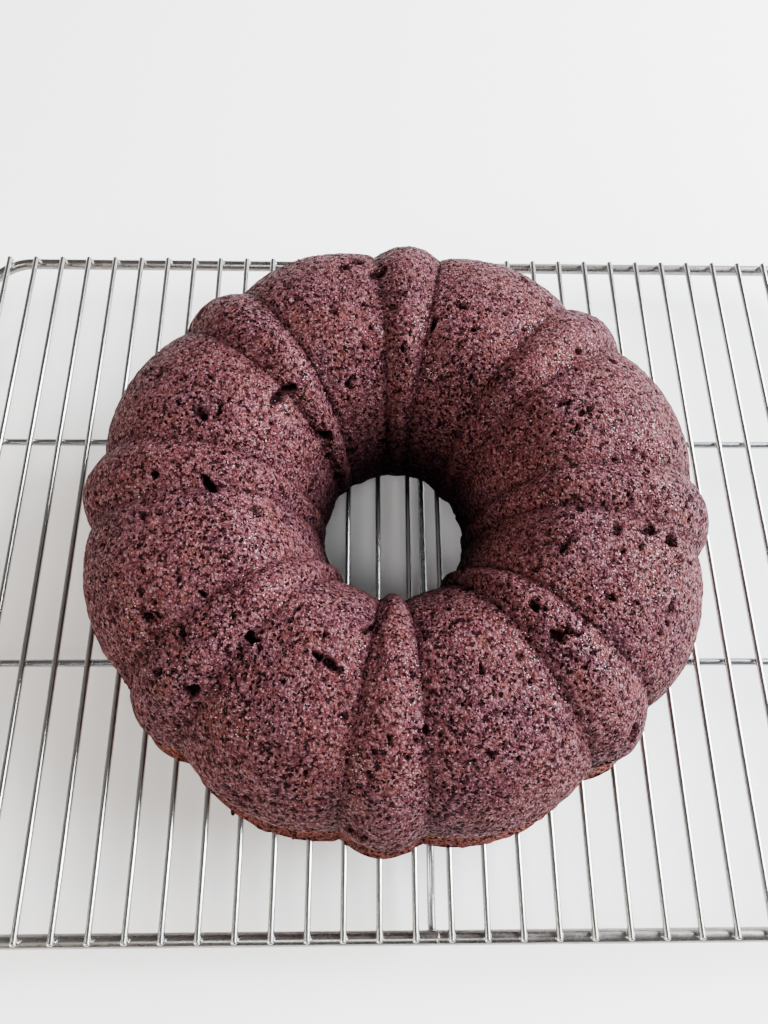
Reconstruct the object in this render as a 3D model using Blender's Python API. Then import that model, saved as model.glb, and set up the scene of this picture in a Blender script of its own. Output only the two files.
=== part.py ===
"""Fluted chocolate ring cake resting on a footed wire cooling rack.

Metres, +Z up. X runs along the rack's long side and Y from its front to its back. The origin is under
the centre of the rack, at the level of the feet. Each piece of wire is its own object; the welds between
them are left as gaps of GAP.
"""

import math

import bmesh
import bpy

# ---- driving dimensions ----
GAP = 0.0003  # left between two pieces that touch on the real object

RACK_HEIGHT = 0.0240  # underside of the feet to the top of the top wires
RAIL_X = 0.2070  # rack centre to the centre-line of the left and right rails
RAIL_Y = 0.14625  # rack centre to the centre-line of the front and back rails
FRAME_DIAMETER = 0.0050
FRAME_CORNER_RADIUS = 0.0200
FRAME_CORNER_STEPS = 6

WIRE_DIAMETER = 0.0024
WIRE_PITCH = 0.0127
WIRES_EACH_SIDE = 16
WIRE_END_SETBACK = 0.0014  # the wire ends this far short of the rail's outer edge

CROSS_DIAMETER = 0.0030
CROSS_Y = RAIL_Y / 3

BRACE_DIAMETER = 0.0030
BRACE_END_Y = RAIL_Y + 0.0015
BRACE_DIP_FLAT = 0.0100  # length of each low end, measured in from the rail
BRACE_DIP_RUN = 0.0200  # length over which the wire drops to its low end

FOOT_DIAMETER = 0.0040
FOOT_CENTRE_Y = 0.1000
FOOT_TOP_HALF_SPAN = 0.0160
FOOT_BOTTOM_HALF_SPAN = 0.0110
FOOT_BEND_STEPS = 5
FOOT_BEND_RADIUS = 0.0050
FOOT_FLAT_DEPTH = 0.0004  # how much of the round wire the flat underneath takes away
FOOT_TRIM = 0.0020  # a leg is this much taller before its end is cut level

WIRE_BEVEL_RESOLUTION = 4  # 12 sides on a round wire

CAKE_CENTRE_X = -0.0127
CAKE_CENTRE_Y = 0.0016
CAKE_TURN = math.radians(87.2)  # direction of one ridge, seen from above
BASE_RADIUS = 0.1170  # to the bottom of a valley between two flutes
CROWN_RADIUS = 0.0630
CROWN_HEIGHT = 0.0670
HOLE_RADIUS = 0.0300
OUTER_POWER = 2.6  # superellipse powers of the profile, outside and inside the crown
INNER_POWER = 1.85
RIDGE_COUNT = 8
RIDGE_HALF_ANGLE = math.radians(7.5)
RIDGE_PROUD = 0.0051
LOBE_PROUD = 0.0045
CROWN_FLUTE_SHARE = 0.6  # height of a flute on the crown, as a share of its height on the wall
HOLE_RIDGE_PROUD = 0.0028
HOLE_LOBE_PROUD = 0.0013
LOBE_ROUNDNESS = 0.75
CAKE_STEPS_AROUND = 144
CAKE_STEPS_OUTSIDE = 9
CAKE_STEPS_INSIDE = 8
BASE_STEPS = 2

# ---- levels that follow from them ----
WIRE_Z = RACK_HEIGHT - WIRE_DIAMETER / 2
RAIL_Z = WIRE_Z - WIRE_DIAMETER / 2 - GAP - FRAME_DIAMETER / 2
CROSS_Z = WIRE_Z - WIRE_DIAMETER / 2 - GAP - CROSS_DIAMETER / 2
BRACE_MIDDLE_Z = CROSS_Z - CROSS_DIAMETER / 2 - GAP - BRACE_DIAMETER / 2
BRACE_END_Z = RAIL_Z - FRAME_DIAMETER / 2 - GAP - BRACE_DIAMETER / 2
FOOT_TOP_Z = RAIL_Z - FRAME_DIAMETER / 2 - GAP
FOOT_BOTTOM_Z = FOOT_DIAMETER / 2 - FOOT_FLAT_DEPTH
CAKE_BASE_Z = RACK_HEIGHT + GAP


def clear_scene():
    for obj in list(bpy.data.objects):
        bpy.data.objects.remove(obj, do_unlink=True)


def new_collection(name):
    collection = bpy.data.collections.new(name)
    bpy.context.scene.collection.children.link(collection)
    return collection


def principled(name, colour, roughness, metallic):
    material = bpy.data.materials.new(name)
    material.use_nodes = True
    shader = material.node_tree.nodes["Principled BSDF"]
    shader.inputs["Base Color"].default_value = (*colour, 1.0)
    shader.inputs["Roughness"].default_value = roughness
    shader.inputs["Metallic"].default_value = metallic
    return material


def wire_object(name, points, diameter, material, collection, cyclic=False):
    """A round wire along straight steps between the points."""
    curve = bpy.data.curves.new(name, "CURVE")
    curve.dimensions = "3D"
    curve.bevel_depth = diameter / 2
    curve.bevel_resolution = WIRE_BEVEL_RESOLUTION
    curve.use_fill_caps = not cyclic
    spline = curve.splines.new("POLY")
    spline.points.add(len(points) - 1)
    for spline_point, point in zip(spline.points, points):
        spline_point.co = (*point, 1.0)
    spline.use_cyclic_u = cyclic
    spline.use_smooth = True
    curve.materials.append(material)
    obj = bpy.data.objects.new(name, curve)
    collection.objects.link(obj)
    return obj


def arc(centre, radius, first_angle, last_angle, steps):
    """Points in a plane, from one angle to the other, both ends included."""
    points = []
    for step in range(steps + 1):
        angle = first_angle + (last_angle - first_angle) * step / steps
        points.append((centre[0] + radius * math.cos(angle), centre[1] + radius * math.sin(angle)))
    return points


# ---- the rack ----
def frame_loop(material, collection):
    """The closed outer loop: four straight sides and four round corners."""
    quarter = math.pi / 2
    corner_x = RAIL_X - FRAME_CORNER_RADIUS
    corner_y = RAIL_Y - FRAME_CORNER_RADIUS
    corners = [(corner_x, corner_y), (-corner_x, corner_y), (-corner_x, -corner_y), (corner_x, -corner_y)]
    points = []
    for number, centre in enumerate(corners):
        start = number * quarter
        points += arc(centre, FRAME_CORNER_RADIUS, start, start + quarter, FRAME_CORNER_STEPS)
    loop = [(x, y, 0.0) for x, y in points]
    frame = wire_object("frame_loop", loop, FRAME_DIAMETER, material, collection, cyclic=True)
    frame.location = (0.0, 0.0, RAIL_Z)


def top_wires(material, collection):
    """The bars that carry the cake, numbered from left to right."""
    half_length = RAIL_Y + FRAME_DIAMETER / 2 - WIRE_END_SETBACK
    points = [(0.0, -half_length, 0.0), (0.0, half_length, 0.0)]
    for number in range(2 * WIRES_EACH_SIDE):
        wire = wire_object(f"top_wire_{number + 1:02d}", points, WIRE_DIAMETER, material, collection)
        wire.location = ((number - WIRES_EACH_SIDE + 0.5) * WIRE_PITCH, 0.0, WIRE_Z)


def cross_wires(material, collection):
    """Two bars under the top wires, from the left rail to the right rail."""
    half_length = RAIL_X - FRAME_DIAMETER / 2 - GAP
    points = [(-half_length, 0.0, 0.0), (half_length, 0.0, 0.0)]
    for name, y in (("cross_wire_front", -CROSS_Y), ("cross_wire_back", CROSS_Y)):
        wire = wire_object(name, points, CROSS_DIAMETER, material, collection)
        wire.location = (0.0, y, CROSS_Z)


def centre_brace(material, collection):
    """The bar under the cross wires, whose ends dip to pass below the front and back rails."""
    low_y = RAIL_Y - BRACE_DIP_FLAT
    high_y = low_y - BRACE_DIP_RUN
    half = [(high_y, BRACE_MIDDLE_Z), (low_y, BRACE_END_Z), (BRACE_END_Y, BRACE_END_Z)]
    points = [(0.0, -y, z) for y, z in reversed(half)] + [(0.0, y, z) for y, z in half]
    wire_object("centre_brace", points, BRACE_DIAMETER, material, collection)


def bent_foot_points():
    """Half of a foot from its low middle up one leg, as (y, z), with a round bend between."""
    rise = FOOT_TOP_Z - FOOT_BOTTOM_Z
    lean = FOOT_TOP_HALF_SPAN - FOOT_BOTTOM_HALF_SPAN
    slope = math.atan2(rise, lean)
    tangent = FOOT_BEND_RADIUS * math.tan(slope / 2)
    centre = (FOOT_BOTTOM_HALF_SPAN - tangent, FOOT_BOTTOM_Z + FOOT_BEND_RADIUS)
    bend = arc(centre, FOOT_BEND_RADIUS, -math.pi / 2, slope - math.pi / 2, FOOT_BEND_STEPS)
    leg_end = (FOOT_TOP_HALF_SPAN + lean * FOOT_TRIM / rise, FOOT_TOP_Z + FOOT_TRIM)
    return bend + [leg_end]


def cut_level(shape, height, side):
    """Takes off what lies above (side 1) or below (side -1) this height, and closes the cut."""
    everything = shape.verts[:] + shape.edges[:] + shape.faces[:]
    cut = bmesh.ops.bisect_plane(
        shape, geom=everything, plane_co=(0, 0, height), plane_no=(0, 0, side), clear_outer=True
    )
    edges = [item for item in cut["geom_cut"] if isinstance(item, bmesh.types.BMEdge)]
    bmesh.ops.edgeloop_fill(shape, edges=edges)


def levelled_foot(obj):
    """The bent wire as a mesh, cut level under the rail and given a small flat underneath."""
    graph = bpy.context.evaluated_depsgraph_get()
    mesh = bpy.data.meshes.new_from_object(obj.evaluated_get(graph))
    mesh.name = obj.name
    shape = bmesh.new()
    shape.from_mesh(mesh)
    bmesh.ops.remove_doubles(shape, verts=shape.verts, dist=1e-6)
    cut_level(shape, 0.0, -1)
    cut_level(shape, FOOT_TOP_Z, 1)
    bmesh.ops.recalc_face_normals(shape, faces=shape.faces)
    shape.to_mesh(mesh)
    shape.free()
    mesh.shade_smooth()
    mesh.set_sharp_from_angle(angle=math.radians(40))
    return mesh


def feet(material, collection):
    """Four bent feet under the left and right rails, all from one flattened U of wire."""
    half = bent_foot_points()
    points = [(0.0, -y, z) for y, z in reversed(half)] + [(0.0, y, z) for y, z in half]
    pattern = wire_object("foot_pattern", points, FOOT_DIAMETER, material, collection)
    bpy.context.view_layer.update()
    mesh = levelled_foot(pattern)
    bpy.data.objects.remove(pattern, do_unlink=True)
    for depth_name, y_sign in (("front", -1), ("back", 1)):
        for side_name, x_sign in (("left", -1), ("right", 1)):
            foot = bpy.data.objects.new(f"foot_{depth_name}_{side_name}", mesh)
            foot.location = (x_sign * RAIL_X, y_sign * FOOT_CENTRE_Y, 0.0)
            collection.objects.link(foot)


# ---- the cake ----
def flute_shape(direction):
    """How far a narrow ridge and a wide lobe stand out in this direction, each from 0 to 1."""
    period = 2 * math.pi / RIDGE_COUNT
    from_ridge = abs((direction + period / 2) % period - period / 2)
    if from_ridge < RIDGE_HALF_ANGLE:
        return math.cos(from_ridge / RIDGE_HALF_ANGLE * math.pi / 2), 0.0
    lobe_half_angle = period / 2 - RIDGE_HALF_ANGLE
    across = (period / 2 - from_ridge) / lobe_half_angle
    return 0.0, max(0.0, math.cos(across * math.pi / 2)) ** LOBE_ROUNDNESS


def ring_profile():
    """The cross-section's points (radius, height), from the outer base edge over the crown and back."""
    points = []
    for step in range(CAKE_STEPS_OUTSIDE):
        angle = math.pi / 2 * step / CAKE_STEPS_OUTSIDE
        radius = CROWN_RADIUS + (BASE_RADIUS - CROWN_RADIUS) * math.cos(angle) ** (2 / OUTER_POWER)
        points.append((radius, CROWN_HEIGHT * math.sin(angle) ** (2 / OUTER_POWER)))
    for step in range(CAKE_STEPS_INSIDE + 1):
        angle = math.pi / 2 * (1 - step / CAKE_STEPS_INSIDE)
        height = CROWN_HEIGHT * max(0.0, math.sin(angle)) ** (2 / INNER_POWER)
        inward = max(0.0, math.cos(angle)) ** (2 / INNER_POWER)
        points.append((CROWN_RADIUS - (CROWN_RADIUS - HOLE_RADIUS) * inward, height))
    for step in range(1, BASE_STEPS):
        share = step / BASE_STEPS
        points.append((HOLE_RADIUS + (BASE_RADIUS - HOLE_RADIUS) * share, 0.0))
    return points


def fluted(radius, height, direction):
    """The point of the plain ring moved out to the fluted surface, as (radius, height)."""
    ridge, lobe = flute_shape(direction)
    rise = RIDGE_PROUD * ridge + LOBE_PROUD * lobe
    if radius >= CROWN_RADIUS:
        share = (radius - CROWN_RADIUS) / (BASE_RADIUS - CROWN_RADIUS)
        outward = rise * share
    else:
        share = (CROWN_RADIUS - radius) / (CROWN_RADIUS - HOLE_RADIUS)
        outward = -(HOLE_RIDGE_PROUD * ridge + HOLE_LOBE_PROUD * lobe) * share
    on_crown = math.sqrt(max(0.0, 1 - share * share)) if height > 0 else 0.0
    return radius + outward, height + CROWN_FLUTE_SHARE * rise * on_crown


def ring_cake(material, collection):
    """A turned ring whose surface is then drawn out into ridges and lobes."""
    shape = bmesh.new()
    ring = [shape.verts.new((radius, 0.0, height)) for radius, height in ring_profile()]
    edges = [shape.edges.new((ring[i], ring[(i + 1) % len(ring)])) for i in range(len(ring))]
    bmesh.ops.spin(
        shape,
        geom=ring + edges,
        cent=(0, 0, 0),
        axis=(0, 0, 1),
        angle=2 * math.pi,
        steps=CAKE_STEPS_AROUND,
        use_merge=True,
    )
    for vert in shape.verts:
        direction = math.atan2(vert.co.y, vert.co.x)
        radius, height = fluted(math.hypot(vert.co.x, vert.co.y), vert.co.z, direction)
        vert.co = (radius * math.cos(direction), radius * math.sin(direction), height)
    bmesh.ops.recalc_face_normals(shape, faces=shape.faces)
    mesh = bpy.data.meshes.new("ring_cake")
    shape.to_mesh(mesh)
    shape.free()
    mesh.shade_smooth()
    mesh.set_sharp_from_angle(angle=math.radians(60))
    mesh.materials.append(material)
    cake = bpy.data.objects.new("ring_cake", mesh)
    cake.location = (CAKE_CENTRE_X, CAKE_CENTRE_Y, CAKE_BASE_Z)
    cake.rotation_euler = (0.0, 0.0, CAKE_TURN)
    collection.objects.link(cake)


def main():
    clear_scene()
    collection = new_collection("ring_cake_on_cooling_rack")
    frame_steel = principled("frame_steel", (0.56, 0.55, 0.54), 0.35, 1.0)
    wire_steel = principled("wire_steel", (0.62, 0.61, 0.60), 0.28, 1.0)
    brace_steel = principled("brace_steel", (0.50, 0.50, 0.50), 0.38, 1.0)
    foot_steel = principled("foot_steel", (0.54, 0.53, 0.52), 0.35, 1.0)
    crumb = principled("chocolate_crumb", (0.13, 0.062, 0.062), 0.75, 0.0)
    frame_loop(frame_steel, collection)
    top_wires(wire_steel, collection)
    cross_wires(brace_steel, collection)
    centre_brace(brace_steel, collection)
    feet(foot_steel, collection)
    ring_cake(crumb, collection)


main()
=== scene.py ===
"""Looks for the ring cake on its cooling rack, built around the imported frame."""

import math
import random

import bmesh
import bpy
import numpy as np
from mathutils import Matrix, Vector


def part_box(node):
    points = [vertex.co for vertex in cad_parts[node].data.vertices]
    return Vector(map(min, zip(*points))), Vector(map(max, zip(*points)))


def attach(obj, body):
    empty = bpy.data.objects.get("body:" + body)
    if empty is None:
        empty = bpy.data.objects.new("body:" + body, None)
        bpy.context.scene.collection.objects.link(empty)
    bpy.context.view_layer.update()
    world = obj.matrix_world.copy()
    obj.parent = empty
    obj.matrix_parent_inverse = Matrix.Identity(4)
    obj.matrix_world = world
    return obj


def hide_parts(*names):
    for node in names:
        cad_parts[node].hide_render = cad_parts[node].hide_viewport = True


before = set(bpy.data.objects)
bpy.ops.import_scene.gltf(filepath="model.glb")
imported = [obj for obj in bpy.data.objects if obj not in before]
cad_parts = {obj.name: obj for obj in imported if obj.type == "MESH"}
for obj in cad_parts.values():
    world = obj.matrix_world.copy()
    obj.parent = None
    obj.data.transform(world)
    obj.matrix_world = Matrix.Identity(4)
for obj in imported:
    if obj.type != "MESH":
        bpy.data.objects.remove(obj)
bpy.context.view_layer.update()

MM = 0.001

# ---- camera: where it stands from the rack's centre, and how it is turned ----
CAMERA_PLACE = (-0.0239, -0.1052, 0.3282)
CAMERA_DOWN = math.radians(68.51)
CAMERA_RIGHT = math.radians(3.52)
CAMERA_ROLL = math.radians(3.41)
CAMERA_LENS = 18.02
CAMERA_SENSOR_HEIGHT = 24.0

# ---- light ----
WINDOW_PLACE = (1.56, 0.39, 0.88)
WINDOW_POWER = 398.0
BACK_PLACE = (0.60, 1.65, 0.95)
BACK_POWER = 18.0
FRONT_PLACE = (-1.45, -0.90, 0.80)
FRONT_POWER = 64.0
TOP_PLACE = (-0.15, -0.75, 1.75)
TOP_POWER = 11.0
ROOM_LEFT = (0.46, 0.43, 0.40)
ROOM_MIDDLE = (0.17, 0.17, 0.17)
ROOM_RIGHT = (0.60, 0.66, 0.72)
ROOM_STRENGTH = 1.1

# ---- cake: the CAD solid's ring, drawn finer, with deeper flutes on a crown that is slightly lower ----
CROWN_RADIUS = 63.0 * MM
BASE_RADIUS = 117.0 * MM
HOLE_RADIUS = 30.0 * MM
CROWN_HEIGHT = 66.2 * MM
OUTER_POWER = 2.55
INNER_POWER = 1.85
RIDGE_COUNT = 8
RIDGE_TURN = math.radians(87.2)
RIDGE_HALF_ANGLE = math.radians(7.5)
RIDGE_PROUD = 5.1 * MM
LOBE_PROUD = 4.8 * MM
CROWN_FLUTE_SHARE = 0.76
HOLE_RIDGE_PROUD = 2.8 * MM
HOLE_LOBE_PROUD = 1.3 * MM
LOBE_ROUNDNESS = 0.68
HOLE_FADE = 0.75  # how much of the flutes is lost at the foot of the hole's wall
HOLE_FADE_HEIGHT = 22.0 * MM
BAND_HEIGHT = 11.0 * MM  # the crust at the foot of the outer wall, which flares out
BAND_FLARE = 6.9 * MM
BAND_LIP = 0.7 * MM
WALL_UPRIGHT = 38.0 * MM  # the flare's inset is gone at this height
LEDGE_SHARE = 0.66  # the pale flecks' height, as a share of the crust's
LEDGE_HALF_WIDTH = 1.8 * MM

# ---- cake: colours ----
CRUMB_RED = (0.0560, 0.0146, 0.0176)
CRUMB_PURPLE = (0.0470, 0.0152, 0.0222)
CRUMB_WARM = (0.0780, 0.0226, 0.0196)
CRUMB_PALE = (0.1600, 0.0720, 0.0830)
# painted highlight: the pale pink of the glint points, mixed into the crumb's colour
CRUMB_PAINTED_GLINT = (0.4200, 0.2500, 0.3200)
CRUST_BROWN = (0.0880, 0.0255, 0.0220)
CRUST_WARM = (0.1300, 0.0410, 0.0320)
CRUST_ORANGE = (0.3300, 0.1280, 0.0620)
# painted shade: the dark where ridges and lobes meet
VALLEY_PAINTED_SHADE = (0.0180, 0.0040, 0.0060)
# painted shade: the near black of the pores, the creases between grains and the pits
PORE_PAINTED_SHADE = (0.0045, 0.0010, 0.0014)
# painted shade: the near black of the hole's lower wall
HOLE_PAINTED_SHADE = (0.0050, 0.0012, 0.0022)

# ---- rack: shapes that the CAD boxes don't give ----
END_DOME = 0.6  # length of a wire's domed end, as a share of its radius
FRAME_CORNER = 20.0 * MM
FRAME_WELD_X = 1.7 * MM
BRACE_FLAT = 11.5 * MM
BRACE_RUN = 20.0 * MM
FOOT_TOP_SPAN = 16.0 * MM
FOOT_BOTTOM_SPAN = 11.0 * MM
FOOT_BEND = 5.0 * MM
FOOT_FLAT_DEPTH = 0.4 * MM

WANDER = 0.09 * MM  # how far a top wire strays from straight
WANDER_CELL = 60.0 * MM

# ---- pits in the crumb: cell, smallest and largest radius, share of cells, channel, stretch, rim ----
SMALL_PITS = (2.2 * MM, 0.40 * MM, 0.95 * MM, 0.80, 11, 1.5, 0.55)
MEDIUM_PITS = (4.6 * MM, 0.60 * MM, 1.40 * MM, 0.45, 23, 1.9, 0.60)
LARGE_PITS = (11.0 * MM, 1.30 * MM, 3.20 * MM, 0.60, 37, 1.8, 0.70)
SMALL_PIT_DEPTH = 0.55 * MM
MEDIUM_PIT_DEPTH = 1.4 * MM
LARGE_PIT_DEPTH = 3.2 * MM

# ---- welds: half sizes along the piece's x, y and z ----
TOP_WIRE_ON_RAIL = (1.55 * MM, 0.85 * MM, 0.35 * MM)
TOP_WIRE_ON_CROSS = (1.45 * MM, 1.20 * MM, 0.50 * MM)
CROSS_ON_RAIL = (1.30 * MM, 1.90 * MM, 1.70 * MM)
BRACE_ON_RAIL = (2.00 * MM, 1.50 * MM, 0.60 * MM)
BRACE_ON_CROSS = (1.50 * MM, 1.50 * MM, 0.50 * MM)
FOOT_ON_RAIL = (2.00 * MM, 2.70 * MM, 0.80 * MM)
FRAME_COLLAR_HALF_LENGTH = 1.25 * MM
FRAME_COLLAR_PROUD = 0.32 * MM

# ---- steel: colour, tint in its lines, roughness from and to, mottling ----
WIRE_STEEL = ((0.40, 0.40, 0.395), (0.31, 0.31, 0.30), 0.12, 0.18, 0.08)
BRACE_STEEL = ((0.27, 0.275, 0.285), (0.20, 0.20, 0.21), 0.18, 0.28, 0.2)
FRAME_STEEL = ((0.29, 0.275, 0.265), (0.20, 0.185, 0.175), 0.20, 0.32, 0.4)
FOOT_STEEL = ((0.31, 0.30, 0.29), (0.22, 0.21, 0.20), 0.20, 0.30, 0.4)
WELD_COLOUR = (0.26, 0.23, 0.21)

FLOOR_HALF = 30.0
FLOOR_WARM = (0.84, 0.83, 0.83)
FLOOR_COOL = (0.87, 0.87, 0.88)
LIGHT_TARGET = (0, 0, 0.03)

CRUMB_COUNT = 46
CRUMB_SEED = 12

COLUMNS = 1200
ROWS_OUTSIDE = 190
ROWS_INSIDE = 110
ROWS_BASE = 12


# ---------------------------------------------------------------- noise in numpy
def hashed(cells, channel):
    """One number from 0 to 1 for each integer cell, the same on every run."""
    x = cells[..., 0].astype(np.uint32) * np.uint32(0x9E3779B1)
    x ^= cells[..., 1].astype(np.uint32) * np.uint32(0x85EBCA77)
    x ^= cells[..., 2].astype(np.uint32) * np.uint32(0xC2B2AE3D)
    x ^= np.uint32((channel * 0x27D4EB2F + 0x165667B1) & 0xFFFFFFFF)
    x ^= x >> np.uint32(15)
    x *= np.uint32(0x2C1B3C6D)
    x ^= x >> np.uint32(12)
    x *= np.uint32(0x297A2D39)
    x ^= x >> np.uint32(15)
    return x.astype(np.float32) / np.float32(4294967295.0)


def value_noise(points, cell, channel):
    """Smooth noise from -1 to 1, with one lump per cell."""
    scaled = points / cell
    low = np.floor(scaled)
    part = (scaled - low).astype(np.float32)
    part = part * part * (3 - 2 * part)
    low = low.astype(np.int32)
    total = np.zeros(len(points), np.float32)
    for corner in np.ndindex(2, 2, 2):
        weight = np.ones(len(points), np.float32)
        for axis in range(3):
            weight *= part[:, axis] if corner[axis] else 1 - part[:, axis]
        total += weight * hashed(low + np.array(corner, np.int32), channel)
    return 2 * total - 1


def layered_noise(points, cell, channel, layers=3):
    total = np.zeros(len(points), np.float32)
    for layer in range(layers):
        total += value_noise(points, cell / 2**layer, channel + layer) / 2**layer
    return total / (2 - 2 ** (1 - layers))


def smooth_step(low, high, x):
    t = np.clip((x - low) / (high - low), 0, 1)
    return t * t * (3 - 2 * t)


def pits(points, cell, smallest, largest, share, channel, stretch, rim):
    """1 inside scattered pits and 0 outside them. A cell holds a pit with the chance of share."""
    low = np.floor(points / cell).astype(np.int32)
    nearest = np.full(len(points), 9.0, np.float32)
    for offset in np.ndindex(3, 3, 3):
        cells = low + np.array(offset, np.int32) - 1
        centre = np.stack([hashed(cells, channel + k) for k in range(3)], -1)
        away = (points - (cells + centre) * cell).astype(np.float32)
        radius = smallest + (largest - smallest) * hashed(cells, channel + 3) ** 2
        square = (away * away).sum(-1)
        if stretch > 1:
            axis = np.stack([hashed(cells, channel + 5 + k) for k in range(3)], -1) * 2 - 1
            axis /= np.linalg.norm(axis, axis=-1, keepdims=True) + 1e-6
            along = (away * axis).sum(-1)
            square = square - (1 - 1 / stretch**2) * along * along
        ratio = np.sqrt(np.maximum(square, 0)) / radius
        ratio[hashed(cells, channel + 4) > share] = 9.0
        nearest = np.minimum(nearest, ratio)
    return 1 - smooth_step(rim, 1.0, nearest)


# ---------------------------------------------------------------- the cake's surface
def flute_shape(direction):
    """How far a ridge and a lobe stand out in each direction, each from 0 to 1."""
    period = 2 * math.pi / RIDGE_COUNT
    from_ridge = np.abs((direction + period / 2) % period - period / 2)
    ridge = np.cos(np.minimum(from_ridge / RIDGE_HALF_ANGLE, 1) * math.pi / 2)
    across = (period / 2 - from_ridge) / (period / 2 - RIDGE_HALF_ANGLE)
    lobe = np.cos(np.clip(across, 0, 1) * math.pi / 2)
    return np.maximum(ridge, 0), np.maximum(lobe, 0) ** LOBE_ROUNDNESS


def even_steps(radius, height, count):
    """The curve's points set at even distances along it."""
    length = np.concatenate([[0], np.cumsum(np.hypot(np.diff(radius), np.diff(height)))])
    wanted = np.linspace(0, length[-1], count)
    return np.interp(wanted, length, radius), np.interp(wanted, length, height)


def ring_profile():
    """(radius, height, side) down the section: 1 outside the crown, -1 inside it, 0 underneath."""
    angle = np.linspace(0, math.pi / 2, 2000)
    cosine, sine = np.maximum(np.cos(angle), 0), np.sin(angle)
    outer = even_steps(
        CROWN_RADIUS + (BASE_RADIUS - CROWN_RADIUS) * cosine ** (2 / OUTER_POWER),
        CROWN_HEIGHT * sine ** (2 / OUTER_POWER),
        ROWS_OUTSIDE,
    )
    inner = even_steps(
        CROWN_RADIUS - (CROWN_RADIUS - HOLE_RADIUS) * cosine[::-1] ** (2 / INNER_POWER),
        CROWN_HEIGHT * sine[::-1] ** (2 / INNER_POWER),
        ROWS_INSIDE,
    )
    under = np.linspace(HOLE_RADIUS, BASE_RADIUS, ROWS_BASE)[1:-1]
    radius = np.concatenate([outer[0], inner[0][1:], under])
    height = np.concatenate([outer[1], inner[1][1:], np.zeros(len(under))])
    side = np.concatenate([np.ones(ROWS_OUTSIDE), -np.ones(ROWS_INSIDE - 1), np.zeros(len(under))])
    return radius, height, side


def flare_inset(height):
    """How far in from the foot the outer wall is: nothing at the floor, most above the crust."""
    rising = smooth_step(-2.0 * MM, 1.25 * BAND_HEIGHT, height)
    falling = smooth_step(0.3 * BAND_HEIGHT, WALL_UPRIGHT, height)
    return BAND_FLARE * (rising - falling) * smooth_step(0, 1.5 * MM, height)


def fluted_ring():
    """The smooth fluted surface as a grid of points, rows down the section by columns around."""
    radius, height, side = (part[:, None] for part in ring_profile())
    direction = np.linspace(0, 2 * math.pi, COLUMNS, endpoint=False)[None, :]
    ridge, lobe = flute_shape(direction)
    rise = RIDGE_PROUD * ridge + LOBE_PROUD * lobe
    out_share = np.clip((radius - CROWN_RADIUS) / (BASE_RADIUS - CROWN_RADIUS), 0, 1)
    in_share = np.clip((CROWN_RADIUS - radius) / (CROWN_RADIUS - HOLE_RADIUS), 0, 1)
    fade = 1 - HOLE_FADE * (1 - smooth_step(0, HOLE_FADE_HEIGHT, height)) * (side < 0)
    inward = (HOLE_RIDGE_PROUD * ridge + HOLE_LOBE_PROUD * lobe) * in_share * fade
    on_crown = np.sqrt(1 - np.maximum(out_share, in_share) ** 2) * (side != 0)
    moved = radius + rise * out_share - inward
    lifted = height + CROWN_FLUTE_SHARE * rise * on_crown
    moved = moved - flare_inset(height) * (side > 0)
    turned = direction + RIDGE_TURN
    points = np.stack([moved * np.cos(turned), moved * np.sin(turned), lifted + 0 * turned], -1)
    return points, side + 0 * direction


def grid_normals(points):
    """Outward unit normals of the closed grid."""
    around = np.roll(points, -1, 1) - np.roll(points, 1, 1)
    down = np.roll(points, -1, 0) - np.roll(points, 1, 0)
    normals = np.cross(around, down)
    return normals / (np.linalg.norm(normals, axis=-1, keepdims=True) + 1e-12)


def crumb_relief(points, normals, side):
    """Moves the points in or out as baked crumb does. Returns them with three masks for the material."""
    flat = points.reshape(-1, 3)
    height = flat[:, 2]
    outside = side.reshape(-1) > 0
    underneath = side.reshape(-1) == 0
    warp = np.stack([value_noise(flat, 1.4 * MM, 60 + k) for k in range(3)], -1) * 0.6 * MM
    wide_warp = np.stack([value_noise(flat, 3.5 * MM, 70 + k) for k in range(3)], -1) * 1.1 * MM
    warped = flat + warp
    small = pits(warped, *SMALL_PITS)
    medium = pits(warped, *MEDIUM_PITS)
    large = pits(warped + wide_warp, *LARGE_PITS)
    depth = 0.6 + 0.4 * smooth_step(-0.3, 0.3, value_noise(flat, 16 * MM, 41))
    sunk = SMALL_PIT_DEPTH * small + MEDIUM_PIT_DEPTH * medium + LARGE_PIT_DEPTH * large * depth
    lumps = 0.14 * MM * value_noise(flat, 1.1 * MM, 3) + 0.22 * MM * value_noise(flat, 2.8 * MM, 4)
    lumps += 0.50 * MM * layered_noise(flat, 20 * MM, 5)
    edge = BAND_HEIGHT + 0.9 * MM * value_noise(flat, 9 * MM, 8) + 0.7 * MM * value_noise(flat, 3 * MM, 9)
    band = np.where(outside, 1 - smooth_step(-0.5, 0.5, (height - edge) / (1.3 * MM)), 0)
    lip = BAND_LIP * band * smooth_step(0.4, 0.9, height / BAND_HEIGHT)
    ragged = 0.35 * MM * value_noise(flat, 2.4 * MM, 14) + 0.6 * MM * value_noise(flat, 8 * MM, 15)
    calm = np.where(underneath, 0.15, 1.0) * smooth_step(-1.0 * MM, 2.5 * MM, height)
    calm = calm * (1 - 0.6 * band)
    uneven = 1.6 * MM * value_noise(flat, 11 * MM, 17) + 0.7 * MM * value_noise(flat, 3.5 * MM, 18)
    uneven = uneven * (side.reshape(-1) < 0)
    move = (lumps - sunk) * calm + lip + ragged * band
    move += uneven * (1 - smooth_step(0, HOLE_FADE_HEIGHT, height))
    moved = flat + normals.reshape(-1, 3) * move[:, None]
    moved[:, 2] = np.maximum(moved[:, 2], 0.1 * MM)
    # painted shade: how far each pit's colour is darkened
    painted_pit_shade = np.clip(0.45 * small + 0.8 * medium + large * depth, 0, 1) * calm
    ledge = np.exp(-(((height - LEDGE_SHARE * edge) / LEDGE_HALF_WIDTH) ** 2)) * outside
    return moved, {"painted_pit_shade": painted_pit_shade, "band": band, "ledge": ledge}


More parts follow.
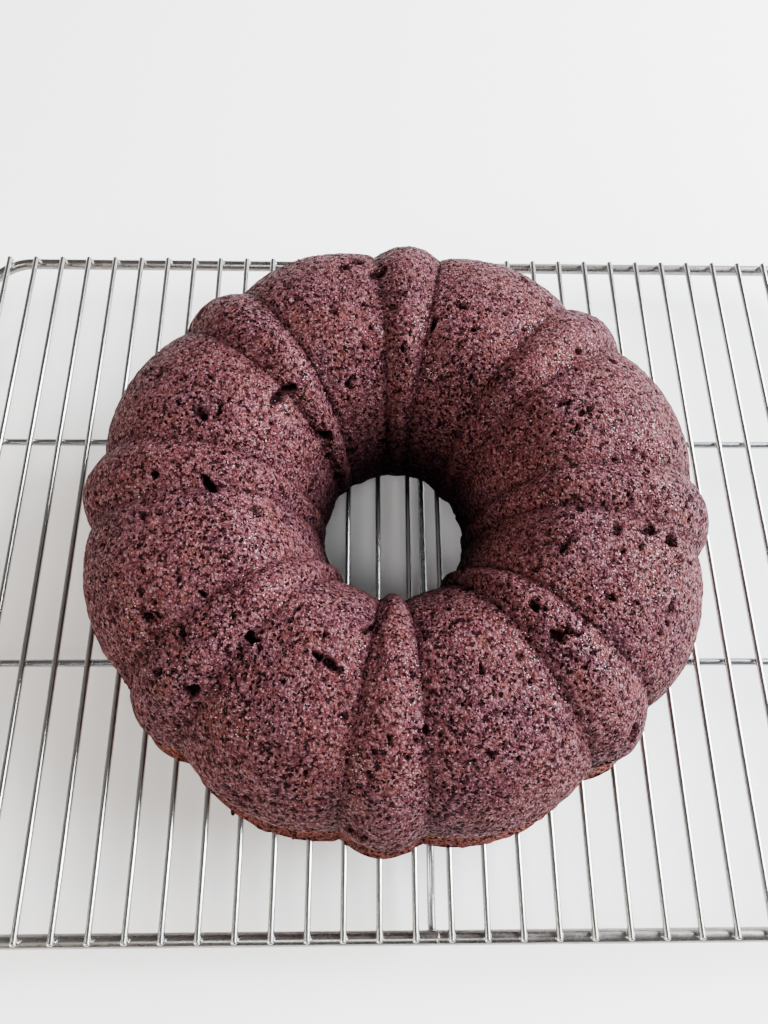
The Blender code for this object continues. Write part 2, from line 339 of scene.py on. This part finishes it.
def grid_mesh(name, points, rows, columns):
    """A mesh whose rows and columns both close on themselves."""
    row, column = np.meshgrid(np.arange(rows), np.arange(columns), indexing="ij")
    next_row, next_column = (row + 1) % rows, (column + 1) % columns
    quads = np.stack(
        [
            row * columns + column,
            row * columns + next_column,
            next_row * columns + next_column,
            next_row * columns + column,
        ],
        -1,
    ).reshape(-1, 4)
    mesh = bpy.data.meshes.new(name)
    mesh.vertices.add(len(points))
    mesh.vertices.foreach_set("co", points.astype(np.float32).ravel())
    mesh.loops.add(quads.size)
    mesh.loops.foreach_set("vertex_index", quads.astype(np.int32).ravel())
    mesh.polygons.add(len(quads))
    mesh.polygons.foreach_set("loop_start", np.arange(0, quads.size, 4, dtype=np.int32))
    mesh.update(calc_edges=True)
    mesh.shade_smooth()
    return mesh


def point_attribute(mesh, name, values):
    layer = mesh.attributes.new(name, "FLOAT", "POINT")
    layer.data.foreach_set("value", values.astype(np.float32))


def add_object(name, mesh, place=(0, 0, 0)):
    obj = bpy.data.objects.new(name, mesh)
    obj.location = place
    bpy.context.scene.collection.objects.link(obj)
    return obj


def make_cake():
    low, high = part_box("ring_cake")
    points, side = fluted_ring()
    rows, columns = side.shape
    moved, attributes = crumb_relief(points, grid_normals(points), side)
    mesh = grid_mesh("fluted_ring_cake", moved, rows, columns)
    # painted shade: the hole's wall is coloured darker towards its foot
    inside = np.where(side.reshape(-1) < 0, 1 - smooth_step(0.05, 0.76, moved[:, 2] / CROWN_HEIGHT), 0)
    ridge, lobe = flute_shape(np.linspace(0, 2 * math.pi, COLUMNS, endpoint=False))
    # painted shade where the flutes meet: 1 away from ridges and lobes, 0 on them
    painted_valley_shade = np.tile(1 - smooth_step(0.0, 0.5, np.maximum(ridge, lobe)), rows)
    for name, values in (*attributes.items(), ("inside", inside), ("painted_valley_shade", painted_valley_shade)):
        point_attribute(mesh, name, values)
    place = ((low.x + high.x) / 2, (low.y + high.y) / 2, low.z)
    cake = add_object("fluted_ring_cake", mesh, place)
    material = crumb_material()
    mesh.materials.append(material)
    edge_crumbs(moved.reshape(rows, columns, 3), place, material)
    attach(cake, "cake")
    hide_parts("ring_cake")
    return cake


def edge_crumbs(ring, place, material):
    """Loose crumbs that cling to the foot of the outer wall."""
    chance = random.Random(CRUMB_SEED)
    outer = ring[:ROWS_OUTSIDE]
    meshes = []
    for number in range(CRUMB_COUNT):
        column = chance.randrange(ring.shape[1])
        wall = outer[:, column]
        spot = wall[np.argmin(np.abs(wall[:, 2] - chance.uniform(0.8, 2.2) * MM))]
        size = chance.uniform(0.5, 1.15) * MM
        halves = (size * chance.uniform(0.8, 1.5), size * chance.uniform(0.8, 1.5), size * 0.7)
        meshes.append(weld_bead(spot, halves, 300 + number, 0.35))
    crumbs = joined("edge_crumbs", meshes)
    crumbs.location = place
    crumbs.data.materials.clear()
    crumbs.data.materials.append(material)
    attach(crumbs, "cake")
    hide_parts("ring_cake")


# ---------------------------------------------------------------- node helpers
class Nodes:
    """A material's node tree, with one call to add a node and link its inputs."""

    def __init__(self, name):
        self.material = bpy.data.materials.new(name)
        self.material.use_nodes = True
        self.tree = self.material.node_tree
        self.shader = self.tree.nodes["Principled BSDF"]

    def set(self, socket, value):
        if isinstance(value, bpy.types.NodeSocket):
            self.tree.links.new(value, socket)
        elif isinstance(value, tuple) and len(value) == 3 and socket.type == "RGBA":
            socket.default_value = (*value, 1.0)
        else:
            socket.default_value = value

    def add(self, kind, inputs=None, **settings):
        node = self.tree.nodes.new(kind)
        for key, value in settings.items():
            setattr(node, key, value)
        for key, value in (inputs or {}).items():
            self.set(node.inputs[key], value)
        return node

    def math(self, operation, first, second=0.0, clamp=False):
        inputs = {0: first, 1: second}
        return self.add("ShaderNodeMath", inputs, operation=operation, use_clamp=clamp).outputs[0]

    def fit(self, value, low, high, new_low=0.0, new_high=1.0, smooth=False):
        inputs = {"Value": value, "From Min": low, "From Max": high}
        inputs.update({"To Min": new_low, "To Max": new_high})
        kind = "SMOOTHSTEP" if smooth else "LINEAR"
        return self.add("ShaderNodeMapRange", inputs, interpolation_type=kind).outputs["Result"]

    def mix(self, share, first, second, blend="MIX"):
        node = self.add("ShaderNodeMix", data_type="RGBA", blend_type=blend)
        self.set(node.inputs[0], share)
        self.set(node.inputs[6], first)
        self.set(node.inputs[7], second)
        return node.outputs[2]

    def noise(self, place, scale, detail=2.0, roughness=0.5):
        inputs = {"Vector": place, "Scale": scale, "Detail": detail, "Roughness": roughness}
        return self.add("ShaderNodeTexNoise", inputs).outputs["Fac"]

    def warped(self, place, scale, reach):
        """The same place pushed about by up to half of reach, with lumps 1/scale long."""
        lumps = self.add("ShaderNodeTexNoise", {"Vector": place, "Scale": scale, "Detail": 2.0})
        settings = {0: lumps.outputs["Color"], 1: (0.5, 0.5, 0.5)}
        shift = self.add("ShaderNodeVectorMath", settings, operation="SUBTRACT")
        push = self.add("ShaderNodeVectorMath", {0: shift.outputs[0], "Scale": reach}, operation="SCALE")
        settings = {0: place, 1: push.outputs[0]}
        return self.add("ShaderNodeVectorMath", settings, operation="ADD").outputs[0]

    def place(self):
        return self.add("ShaderNodeTexCoord").outputs["Object"]

    def attribute(self, name):
        return self.add("ShaderNodeAttribute", attribute_name=name).outputs["Fac"]

    def bump(self, height, strength, distance, normal=None):
        inputs = {"Height": height, "Strength": strength, "Distance": distance}
        if normal is not None:
            inputs["Normal"] = normal
        return self.add("ShaderNodeBump", inputs).outputs["Normal"]


def voronoi(n, place, scale):
    return n.add("ShaderNodeTexVoronoi", {"Vector": place, "Scale": scale})


def crumb_material():
    """Moist chocolate crumb: packed reddish grains with creases and pores between them, darkened with
    painted shade, and pale glint points with painted highlights.
    """
    n = Nodes("chocolate_crumb_look")
    place = n.place()
    warped = n.warped(place, 620.0, 0.0013)
    grains = voronoi(n, warped, 1020.0)
    grain_tone = n.add("ShaderNodeSeparateXYZ", {0: grains.outputs["Color"]}).outputs[0]
    patch = n.noise(place, 30.0, 3.0, 0.6)
    masks = crumb_holes(n, place, warped, grains.outputs["Distance"], patch)
    points = voronoi(n, warped, 1500.0)
    point_tone = n.add("ShaderNodeSeparateXYZ", {0: points.outputs["Color"]}).outputs[1]
    # glint points: they get a painted highlight in the colour and a real glossy coat in the shader
    glint = n.fit(points.outputs["Distance"], 0.18, 0.32, 1.0, 0.0)
    glint = n.math("MULTIPLY", glint, n.fit(point_tone, 0.50, 0.72))
    band = n.attribute("band")
    base = crumb_colour(n, place, warped, grain_tone, patch, glint, masks["painted_hole_shade"], band)
    n.set(n.shader.inputs["Base Color"], base)
    crumb_shine(n, grain_tone, glint, masks["painted_hole_shade"], band)
    crumb_bump(n, place, grains.outputs["Distance"], masks)
    return n.material


def crumb_holes(n, place, warped, grain, patch):
    """Masks of the pores, gaps and pinholes, and of where painted shade goes: these, the creases and the
    pits.
    """
    twisted = n.warped(place, 330.0, 0.0030)
    pores = voronoi(n, twisted, 530.0).outputs["Distance"]
    pinholes = voronoi(n, warped, 950.0).outputs["Distance"]
    gaps = n.noise(warped, 570.0, 3.0, 0.62)
    crease = n.fit(grain, 0.44, 0.78, smooth=True)
    crowded = n.fit(patch, 0.36, 0.62, 0.15, 0.28)
    pore_mask = n.fit(pores, crowded, n.math("ADD", crowded, 0.09), 1.0, 0.0, smooth=True)
    pinhole_mask = n.fit(pinholes, 0.17, 0.27, 1.0, 0.0, smooth=True)
    gap_mask = n.fit(gaps, 0.56, 0.60, smooth=True)
    # painted shade: pores, gaps, pinholes, creases and pits all go near black in the colour
    painted_hole_shade = n.math("MAXIMUM", pore_mask, n.math("MULTIPLY", gap_mask, 0.95))
    painted_hole_shade = n.math("MAXIMUM", painted_hole_shade, n.math("MULTIPLY", pinhole_mask, 0.75))
    painted_hole_shade = n.math("MAXIMUM", painted_hole_shade, n.math("MULTIPLY", crease, 0.6))
    painted_hole_shade = n.math("MAXIMUM", painted_hole_shade, n.attribute("painted_pit_shade"), clamp=True)
    return {"pore": pore_mask, "pinhole": pinhole_mask, "gap": gap_mask, "painted_hole_shade": painted_hole_shade}


def crumb_colour(n, place, warped, grain_tone, patch, glint, painted_hole_shade, band):
    """Reddish grains in uneven patches, a browner crust with pale flecks, painted highlights at the glint
    points, and painted shade in the flute valleys, in the holes and down the hole's wall.
    """
    tone = n.noise(place, 120.0, 3.0, 0.6)
    base = n.mix(n.fit(patch, 0.38, 0.62), CRUMB_RED, CRUMB_PURPLE)
    base = n.mix(n.fit(tone, 0.42, 0.70), base, CRUMB_WARM)
    base = n.mix(n.fit(grain_tone, 0.35, 1.0, 0.0, 0.62), base, CRUMB_PALE)
    brown = n.mix(n.fit(tone, 0.35, 0.65), CRUST_BROWN, CRUST_WARM)
    base = n.mix(n.math("MULTIPLY", band, 0.9), base, brown)
    flecks = n.fit(n.noise(warped, 260.0, 4.0, 0.7), 0.49, 0.57)
    base = n.mix(n.math("MULTIPLY", n.attribute("ledge"), flecks), base, CRUST_ORANGE)
    # painted highlight: pale pink glints at the glint points
    base = n.mix(n.math("MULTIPLY", glint, 0.55), base, CRUMB_PAINTED_GLINT)
    # painted shade in the valleys between ridges and lobes
    base = n.mix(n.math("MULTIPLY", n.attribute("painted_valley_shade"), 0.40), base, VALLEY_PAINTED_SHADE)
    # painted shade: the pores, creases and pits turn near black
    base = n.mix(painted_hole_shade, base, PORE_PAINTED_SHADE)
    # painted shade: the hole's wall goes near black towards its foot
    return n.mix(n.math("MULTIPLY", n.attribute("inside"), 0.92), base, HOLE_PAINTED_SHADE)


def crumb_shine(n, grain_tone, glint, painted_hole_shade, band):
    """Rough in the holes and the crust, with a moist coat on the points that face the viewer."""
    rough = n.fit(grain_tone, 0.0, 1.0, 0.55, 0.30)
    rough = n.math("ADD", rough, n.math("MULTIPLY", painted_hole_shade, 0.35), clamp=True)
    rough = n.math("ADD", rough, n.math("MULTIPLY", band, 0.2), clamp=True)
    n.set(n.shader.inputs["Roughness"], rough)
    facing = n.add("ShaderNodeLayerWeight", {"Blend": 0.5}).outputs["Facing"]
    wet = n.math("MULTIPLY", glint, n.fit(facing, 0.35, 0.75, 1.0, 0.1))
    n.set(n.shader.inputs["Coat Weight"], wet)
    n.shader.inputs["Coat Roughness"].default_value = 0.22
    n.shader.inputs["Coat IOR"].default_value = 1.5
    n.shader.inputs["Specular IOR Level"].default_value = 0.02
    n.shader.inputs["Specular Tint"].default_value = (1.0, 0.80, 0.90, 1.0)


def crumb_bump(n, place, grain, masks):
    fine = n.noise(place, 2300.0, 2.0, 0.6)
    height = n.math("MULTIPLY", grain, -0.75)
    height = n.math("ADD", height, n.math("MULTIPLY", masks["pore"], -0.8))
    height = n.math("ADD", height, n.math("MULTIPLY", masks["gap"], -0.6))
    height = n.math("ADD", height, n.math("MULTIPLY", masks["pinhole"], -0.5))
    height = n.math("ADD", height, n.math("MULTIPLY", fine, 0.25))
    n.set(n.shader.inputs["Normal"], n.bump(height, 0.95, 0.0010))


# ---------------------------------------------------------------- the rack's wires
def tube_faces(count, sides, closed):
    faces = []
    for i in range(count if closed else count - 1):
        j = (i + 1) % count
        for k in range(sides):
            m = (k + 1) % sides
            faces.append((i * sides + k, i * sides + m, j * sides + m, j * sides + k))
    if not closed:
        faces.append(tuple(range(sides - 1, -1, -1)))
        faces.append(tuple((count - 1) * sides + k for k in range(sides)))
    return faces


def tube_mesh(name, path, radii, sides, closed):
    """A round tube through the path's points, with a radius at each. It has end faces unless closed."""
    path = np.asarray(path, float)
    count = len(path)
    if closed:
        ahead, behind = np.roll(path, -1, 0), np.roll(path, 1, 0)
    else:
        ahead = np.concatenate([path[1:], path[-1:]])
        behind = np.concatenate([path[:1], path[:-1]])
    tangent = ahead - behind
    tangent /= np.linalg.norm(tangent, axis=-1, keepdims=True)
    up = np.array([0.0, 0.0, 1.0])
    across = np.cross(tangent, up)
    across /= np.linalg.norm(across, axis=-1, keepdims=True)
    over = np.cross(across, tangent)
    turn = np.arange(sides) * 2 * math.pi / sides
    ring = across[:, None] * np.cos(turn)[None, :, None] + over[:, None] * np.sin(turn)[None, :, None]
    points = path[:, None] + ring * np.asarray(radii)[:, None, None]
    mesh = bpy.data.meshes.new(name)
    mesh.from_pydata(points.reshape(-1, 3).tolist(), [], tube_faces(count, sides, closed))
    along = np.concatenate([[0], np.cumsum(np.linalg.norm(np.diff(path, axis=0), axis=-1))])
    point_attribute(mesh, "along", np.repeat(along, sides))
    point_attribute(mesh, "around", np.tile(np.sin(turn), count))
    mesh.shade_smooth()
    mesh.set_sharp_from_angle(angle=math.radians(50))
    return mesh


def wire_path(start, end, steps, radius):
    """(points, radii) of a straight wire with a short dome at each end."""
    start, end = np.asarray(start, float), np.asarray(end, float)
    length = np.linalg.norm(end - start)
    turn = np.linspace(0, math.pi / 2, 5)
    dome = END_DOME * radius * (1 - np.cos(turn))
    dome_radii = radius * np.maximum(np.sin(turn), 0.2)
    close = dome[-1] + 0.15 * radius
    middle = np.concatenate([[close], np.linspace(close, length - close, steps)[1:-1], [length - close]])
    distance = np.concatenate([dome, middle, length - dome[::-1]])
    radii = np.concatenate([dome_radii, np.full(len(middle), radius), dome_radii[::-1]])
    return start + (end - start) * (distance / length)[:, None], radii


def wander(path, amount, channel):
    """Lets a wire stray a little from straight, as a drawn and welded wire does."""
    path = np.array(path)
    length = np.concatenate([[0], np.cumsum(np.linalg.norm(np.diff(path, axis=0), axis=-1))])
    spots = np.stack([length, np.full(len(path), 7.3 * channel), np.zeros(len(path))], -1)
    for axis in (0, 2):
        path[:, axis] += amount * value_noise(spots, WANDER_CELL, 90 + channel * 2 + axis)
    return path


def weld_bead(place, half_sizes, channel, roughness=0.12):
    """A small lump of melted steel or of crumb: a ball squashed to these half sizes and made uneven."""
    ball = bmesh.new()
    bmesh.ops.create_icosphere(ball, subdivisions=2, radius=1.0)
    points = np.array([vert.co for vert in ball.verts])
    uneven = 1 + roughness * value_noise(points + channel, 0.8, 130 + channel)
    for vert, point, swell in zip(ball.verts, points, uneven):
        vert.co = Vector(point * swell * np.array(half_sizes)) + Vector(place)
    mesh = bpy.data.meshes.new("weld_bead")
    ball.to_mesh(mesh)
    ball.free()
    mesh.shade_smooth()
    point_attribute(mesh, "weld", np.ones(len(mesh.vertices)))
    return mesh


def joined(name, meshes):
    """One mesh object of all of these."""
    objects = [add_object(f"{name}_part", mesh) for mesh in meshes]
    bpy.ops.object.select_all(action="DESELECT")
    for obj in objects:
        obj.select_set(True)
    bpy.context.view_layer.objects.active = objects[0]
    if len(objects) > 1:
        bpy.ops.object.join()
    obj = bpy.context.view_layer.objects.active
    obj.name = name
    obj.data.name = name
    return obj


def rack_piece(name, meshes, node, material):
    piece = joined(name, meshes)
    piece.data.materials.clear()
    piece.data.materials.append(material)
    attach(piece, "rack")
    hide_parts(node)
    return piece


def middle_of(node):
    low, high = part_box(node)
    return (low + high) / 2


def make_top_wires(material):
    """Each top wire with its welds to the rails and to the cross wires."""
    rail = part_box("frame_loop")
    rail_radius = (rail[1].z - rail[0].z) / 2
    rail_y = rail[1].y - rail_radius
    rail_top = rail[1].z
    cross_y = middle_of("cross_wire_back").y
    nodes = sorted(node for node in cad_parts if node.startswith("top_wire_"))
    for number, node in enumerate(nodes):
        low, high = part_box(node)
        centre = (low + high) / 2
        radius = (high.x - low.x) / 2
        path, radii = wire_path((centre.x, low.y, centre.z), (centre.x, high.y, centre.z), 40, radius)
        meshes = [tube_mesh(node, wander(path, WANDER, number), radii, 16, False)]
        for y in (-rail_y, rail_y):
            place = (centre.x, y, rail_top + 0.05 * MM)
            meshes.append(weld_bead(place, TOP_WIRE_ON_RAIL, number))
        for y in (-cross_y, cross_y):
            place = (centre.x, y, low.z - 0.1 * MM)
            meshes.append(weld_bead(place, TOP_WIRE_ON_CROSS, number + 40))
        rack_piece(node.replace("top_wire", "grid_wire"), meshes, node, material)


def make_cross_wires(material):
    """Each cross wire, butt-welded to the side rails."""
    for number, node in enumerate(("cross_wire_front", "cross_wire_back")):
        low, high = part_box(node)
        centre = (low + high) / 2
        radius = (high.z - low.z) / 2
        path, radii = wire_path((low.x, centre.y, centre.z), (high.x, centre.y, centre.z), 60, radius)
        radii = np.full(len(radii), radius)
        meshes = [tube_mesh(node, path, radii, 18, False)]
        for x in (low.x, high.x):
            place = (x, centre.y, centre.z)
            meshes.append(weld_bead(place, CROSS_ON_RAIL, number + 80))
        rack_piece(node.replace("cross_wire", "cross_bar"), meshes, node, material)


def make_brace(material):
    """The brace, touching the cross wires in its middle and the rails' undersides at its ends."""
    low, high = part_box("centre_brace")
    radius = (high.x - low.x) / 2
    centre_x = (low.x + high.x) / 2
    rail_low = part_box("frame_loop")[0].z
    high_z, low_z = high.z - radius, low.z + radius
    path, radii = wire_path((centre_x, low.y, low_z), (centre_x, high.y, low_z), 120, radius)
    from_end = high.y - np.abs(path[:, 1])
    path[:, 2] += (high_z - low_z) * smooth_step(BRACE_FLAT, BRACE_FLAT + BRACE_RUN, from_end)
    meshes = [tube_mesh("centre_brace", path, radii, 18, False)]
    rail_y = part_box("frame_loop")[1].y - 2.5 * MM
    for y in (-rail_y, rail_y):
        meshes.append(weld_bead((centre_x, y, rail_low - 0.15 * MM), BRACE_ON_RAIL, 91))
    cross_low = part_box("cross_wire_front")[0].z
    cross_y = middle_of("cross_wire_back").y
    for y in (-cross_y, cross_y):
        meshes.append(weld_bead((centre_x, y, cross_low - 0.15 * MM), BRACE_ON_CROSS, 93))
    rack_piece("under_brace", meshes, "centre_brace", material)


def make_frame(material):
    """The closed outer wire with the one butt weld that closes it, on the front rail."""
    low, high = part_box("frame_loop")
    radius = (high.z - low.z) / 2
    half_x, half_y = high.x - radius, high.y - radius
    centre_z = (low.z + high.z) / 2
    quarter = math.pi / 2
    points = []
    for number, (sign_x, sign_y) in enumerate(((1, 1), (-1, 1), (-1, -1), (1, -1))):
        centre_x = sign_x * (half_x - FRAME_CORNER)
        centre_y = sign_y * (half_y - FRAME_CORNER)
        for turn in np.linspace(number * quarter, (number + 1) * quarter, 17):
            spot = (centre_x + FRAME_CORNER * math.cos(turn), centre_y + FRAME_CORNER * math.sin(turn))
            points.append((*spot, centre_z))
    points = finer_loop(np.array(points), 4 * MM)
    meshes = [tube_mesh("frame_loop", points, np.full(len(points), radius), 24, True)]
    collar = (FRAME_WELD_X, -half_y, centre_z)
    around = radius + FRAME_COLLAR_PROUD
    meshes.append(weld_bead(collar, (FRAME_COLLAR_HALF_LENGTH, around, around), 97))
    rack_piece("outer_frame", meshes, "frame_loop", material)


def finer_loop(points, step):
    """The same closed loop with no stretch longer than step."""
    finer = []
    for here, after in zip(points, np.roll(points, -1, 0)):
        count = max(1, int(np.linalg.norm(after - here) / step))
        for k in range(count):
            finer.append(here + (after - here) * k / count)
    return np.array(finer)


def make_feet(material):
    """Four feet of bent wire, each with a small flat where it stands and a weld at each leg."""
    for node in sorted(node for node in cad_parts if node.startswith("foot_")):
        low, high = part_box(node)
        centre = (low + high) / 2
        radius = (high.x - low.x) / 2
        top = high.z
        bottom = radius - FOOT_FLAT_DEPTH
        slope = math.atan2(top - bottom, FOOT_TOP_SPAN - FOOT_BOTTOM_SPAN)
        tangent = FOOT_BEND * math.tan(slope / 2)
        bend_y = FOOT_BOTTOM_SPAN - tangent
        half = [(0.0, bottom)]
        for turn in np.linspace(-math.pi / 2, slope - math.pi / 2, 13):
            spot = (bend_y + FOOT_BEND * math.cos(turn), bottom + FOOT_BEND * (1 + math.sin(turn)))
            half.append(spot)
        half.append((FOOT_TOP_SPAN, top))
        route = [(-y, z) for y, z in reversed(half[1:])] + half
        path = np.array([(centre.x, centre.y + y, z) for y, z in route])
        mesh = tube_mesh(node, path, np.full(len(path), radius), 20, False)
        for vert in mesh.vertices:
            vert.co.z = min(max(vert.co.z, low.z), top)
        meshes = [mesh]
        for side in (-1, 1):
            place = (centre.x, centre.y + side * FOOT_TOP_SPAN, top)
            meshes.append(weld_bead(place, FOOT_ON_RAIL, 99))
        rack_piece(node.replace("foot", "bent_foot"), meshes, node, material)


def steel_material(name, colour, tint, low_rough, high_rough, mottling):
    """Drawn stainless wire: fine lines along it, a satin that varies slowly, darker at the welds."""
    n = Nodes(name)
    place = n.place()
    along = n.attribute("along")
    around = n.attribute("around")
    stretched = {0: n.math("MULTIPLY", along, 25.0), 1: n.math("MULTIPLY", around, 4.0)}
    drawn = n.add("ShaderNodeCombineXYZ", stretched)
    lines = n.noise(drawn.outputs[0], 3.0, 4.0, 0.7)
    mottle = n.noise(place, 260.0, 4.0, 0.62)
    wide = n.noise(place, 22.0, 3.0, 0.5)
    base = n.mix(n.fit(lines, 0.38, 0.66, 0.0, 0.5), colour, tint)
    base = n.mix(n.fit(mottle, 0.42, 0.66, 0.0, mottling), base, tuple(0.45 * part for part in tint))
    base = n.mix(n.fit(wide, 0.35, 0.70, 0.0, 0.4), base, tint)
    weld = n.attribute("weld")
    base = n.mix(n.math("MULTIPLY", weld, 0.55), base, WELD_COLOUR)
    n.set(n.shader.inputs["Base Color"], base)
    n.shader.inputs["Metallic"].default_value = 1.0
    rough = n.fit(lines, 0.3, 0.7, low_rough, high_rough)
    rough = n.math("ADD", rough, n.fit(mottle, 0.45, 0.7, 0.0, 0.25 * mottling), clamp=True)
    rough = n.math("ADD", rough, n.math("MULTIPLY", weld, 0.12), clamp=True)
    n.set(n.shader.inputs["Roughness"], rough)
    n.set(n.shader.inputs["Normal"], n.bump(n.math("ADD", lines, mottle), 0.12, 0.00003))
    return n.material


# ---------------------------------------------------------------- floor, light and camera
def make_floor():
    mesh = bpy.data.meshes.new("pale_floor")
    half = FLOOR_HALF
    corners = [(-half, -half, 0), (half, -half, 0), (half, half, 0), (-half, half, 0)]
    mesh.from_pydata(corners, [], [(0, 1, 2, 3)])
    n = Nodes("pale_floor_look")
    tone = n.noise(n.place(), 3.0, 3.0, 0.5)
    n.set(n.shader.inputs["Base Color"], n.mix(tone, FLOOR_WARM, FLOOR_COOL))
    n.shader.inputs["Roughness"].default_value = 0.6
    mesh.materials.append(n.material)
    add_object("pale_floor", mesh)


def aim(obj, place, target):
    direction = Vector(target) - Vector(place)
    obj.location = place
    obj.rotation_euler = direction.to_track_quat("-Z", "Y").to_euler()


def add_area(name, place, size, power, colour):
    light = bpy.data.lights.new(name, "AREA")
    light.shape = "RECTANGLE"
    light.size, light.size_y = size
    light.energy = power
    light.color = colour
    obj = bpy.data.objects.new(name, light)
    bpy.context.scene.collection.objects.link(obj)
    aim(obj, place, LIGHT_TARGET)


def make_light():
    """A window to the right and a little behind, a weak one behind, two fills and the room's glow."""
    add_area("window", WINDOW_PLACE, (1.5, 1.5), WINDOW_POWER, (0.95, 0.98, 1.0))
    add_area("back_window", BACK_PLACE, (1.4, 0.8), BACK_POWER, (1.0, 0.98, 0.96))
    add_area("front_fill", FRONT_PLACE, (1.0, 0.8), FRONT_POWER, (1.0, 0.87, 0.74))
    add_area("top_fill", TOP_PLACE, (0.7, 0.4), TOP_POWER, (1.0, 0.98, 0.96))
    make_room()


def make_room():
    """The light from all around: a little warm on the left, dim in the middle, cool on the right."""
    world = bpy.data.worlds.new("room")
    bpy.context.scene.world = world
    world.use_nodes = True
    tree = world.node_tree
    ray = tree.nodes.new("ShaderNodeTexCoord")
    parts = tree.nodes.new("ShaderNodeSeparateXYZ")
    tree.links.new(ray.outputs["Generated"], parts.inputs[0])
    ramp = tree.nodes.new("ShaderNodeValToRGB")
    ramp.color_ramp.interpolation = "EASE"
    stops = ramp.color_ramp.elements
    stops[0].position = 0.0
    stops[0].color = (*ROOM_LEFT, 1.0)
    stops[1].position = 1.0
    stops[1].color = (*ROOM_RIGHT, 1.0)
    stops.new(0.5).color = (*ROOM_MIDDLE, 1.0)
    share = tree.nodes.new("ShaderNodeMapRange")
    share.inputs["From Min"].default_value = -1.0
    tree.links.new(parts.outputs["X"], share.inputs["Value"])
    tree.links.new(share.outputs[0], ramp.inputs["Fac"])
    background = tree.nodes["Background"]
    tree.links.new(ramp.outputs["Color"], background.inputs["Color"])
    background.inputs["Strength"].default_value = ROOM_STRENGTH


def make_camera():
    """A camera held above the front rail, looking steeply down, a little to the right and tilted."""
    down, right, roll = CAMERA_DOWN, CAMERA_RIGHT, CAMERA_ROLL
    forward = Vector(
        (math.sin(right) * math.cos(down), math.cos(right) * math.cos(down), -math.sin(down))
    )
    level = Vector((math.cos(right), -math.sin(right), 0.0))
    upward = level.cross(forward)
    across = level * math.cos(roll) + upward * math.sin(roll)
    upright = upward * math.cos(roll) - level * math.sin(roll)
    data = bpy.data.cameras.new("camera")
    data.sensor_fit = "VERTICAL"
    data.sensor_height = CAMERA_SENSOR_HEIGHT
    data.lens = CAMERA_LENS
    data.clip_start = 0.01
    camera = bpy.data.objects.new("camera", data)
    turned = Matrix((across, upright, -forward)).transposed().to_4x4()
    camera.matrix_world = Matrix.Translation(CAMERA_PLACE) @ turned
    bpy.context.scene.collection.objects.link(camera)
    bpy.context.scene.camera = camera


def main():
    make_camera()
    make_floor()
    make_light()
    make_top_wires(steel_material("wire_steel_look", *WIRE_STEEL))
    under = steel_material("brace_steel_look", *BRACE_STEEL)
    make_cross_wires(under)
    make_brace(under)
    make_frame(steel_material("frame_steel_look", *FRAME_STEEL))
    make_feet(steel_material("foot_steel_look", *FOOT_STEEL))
    make_cake()


main()
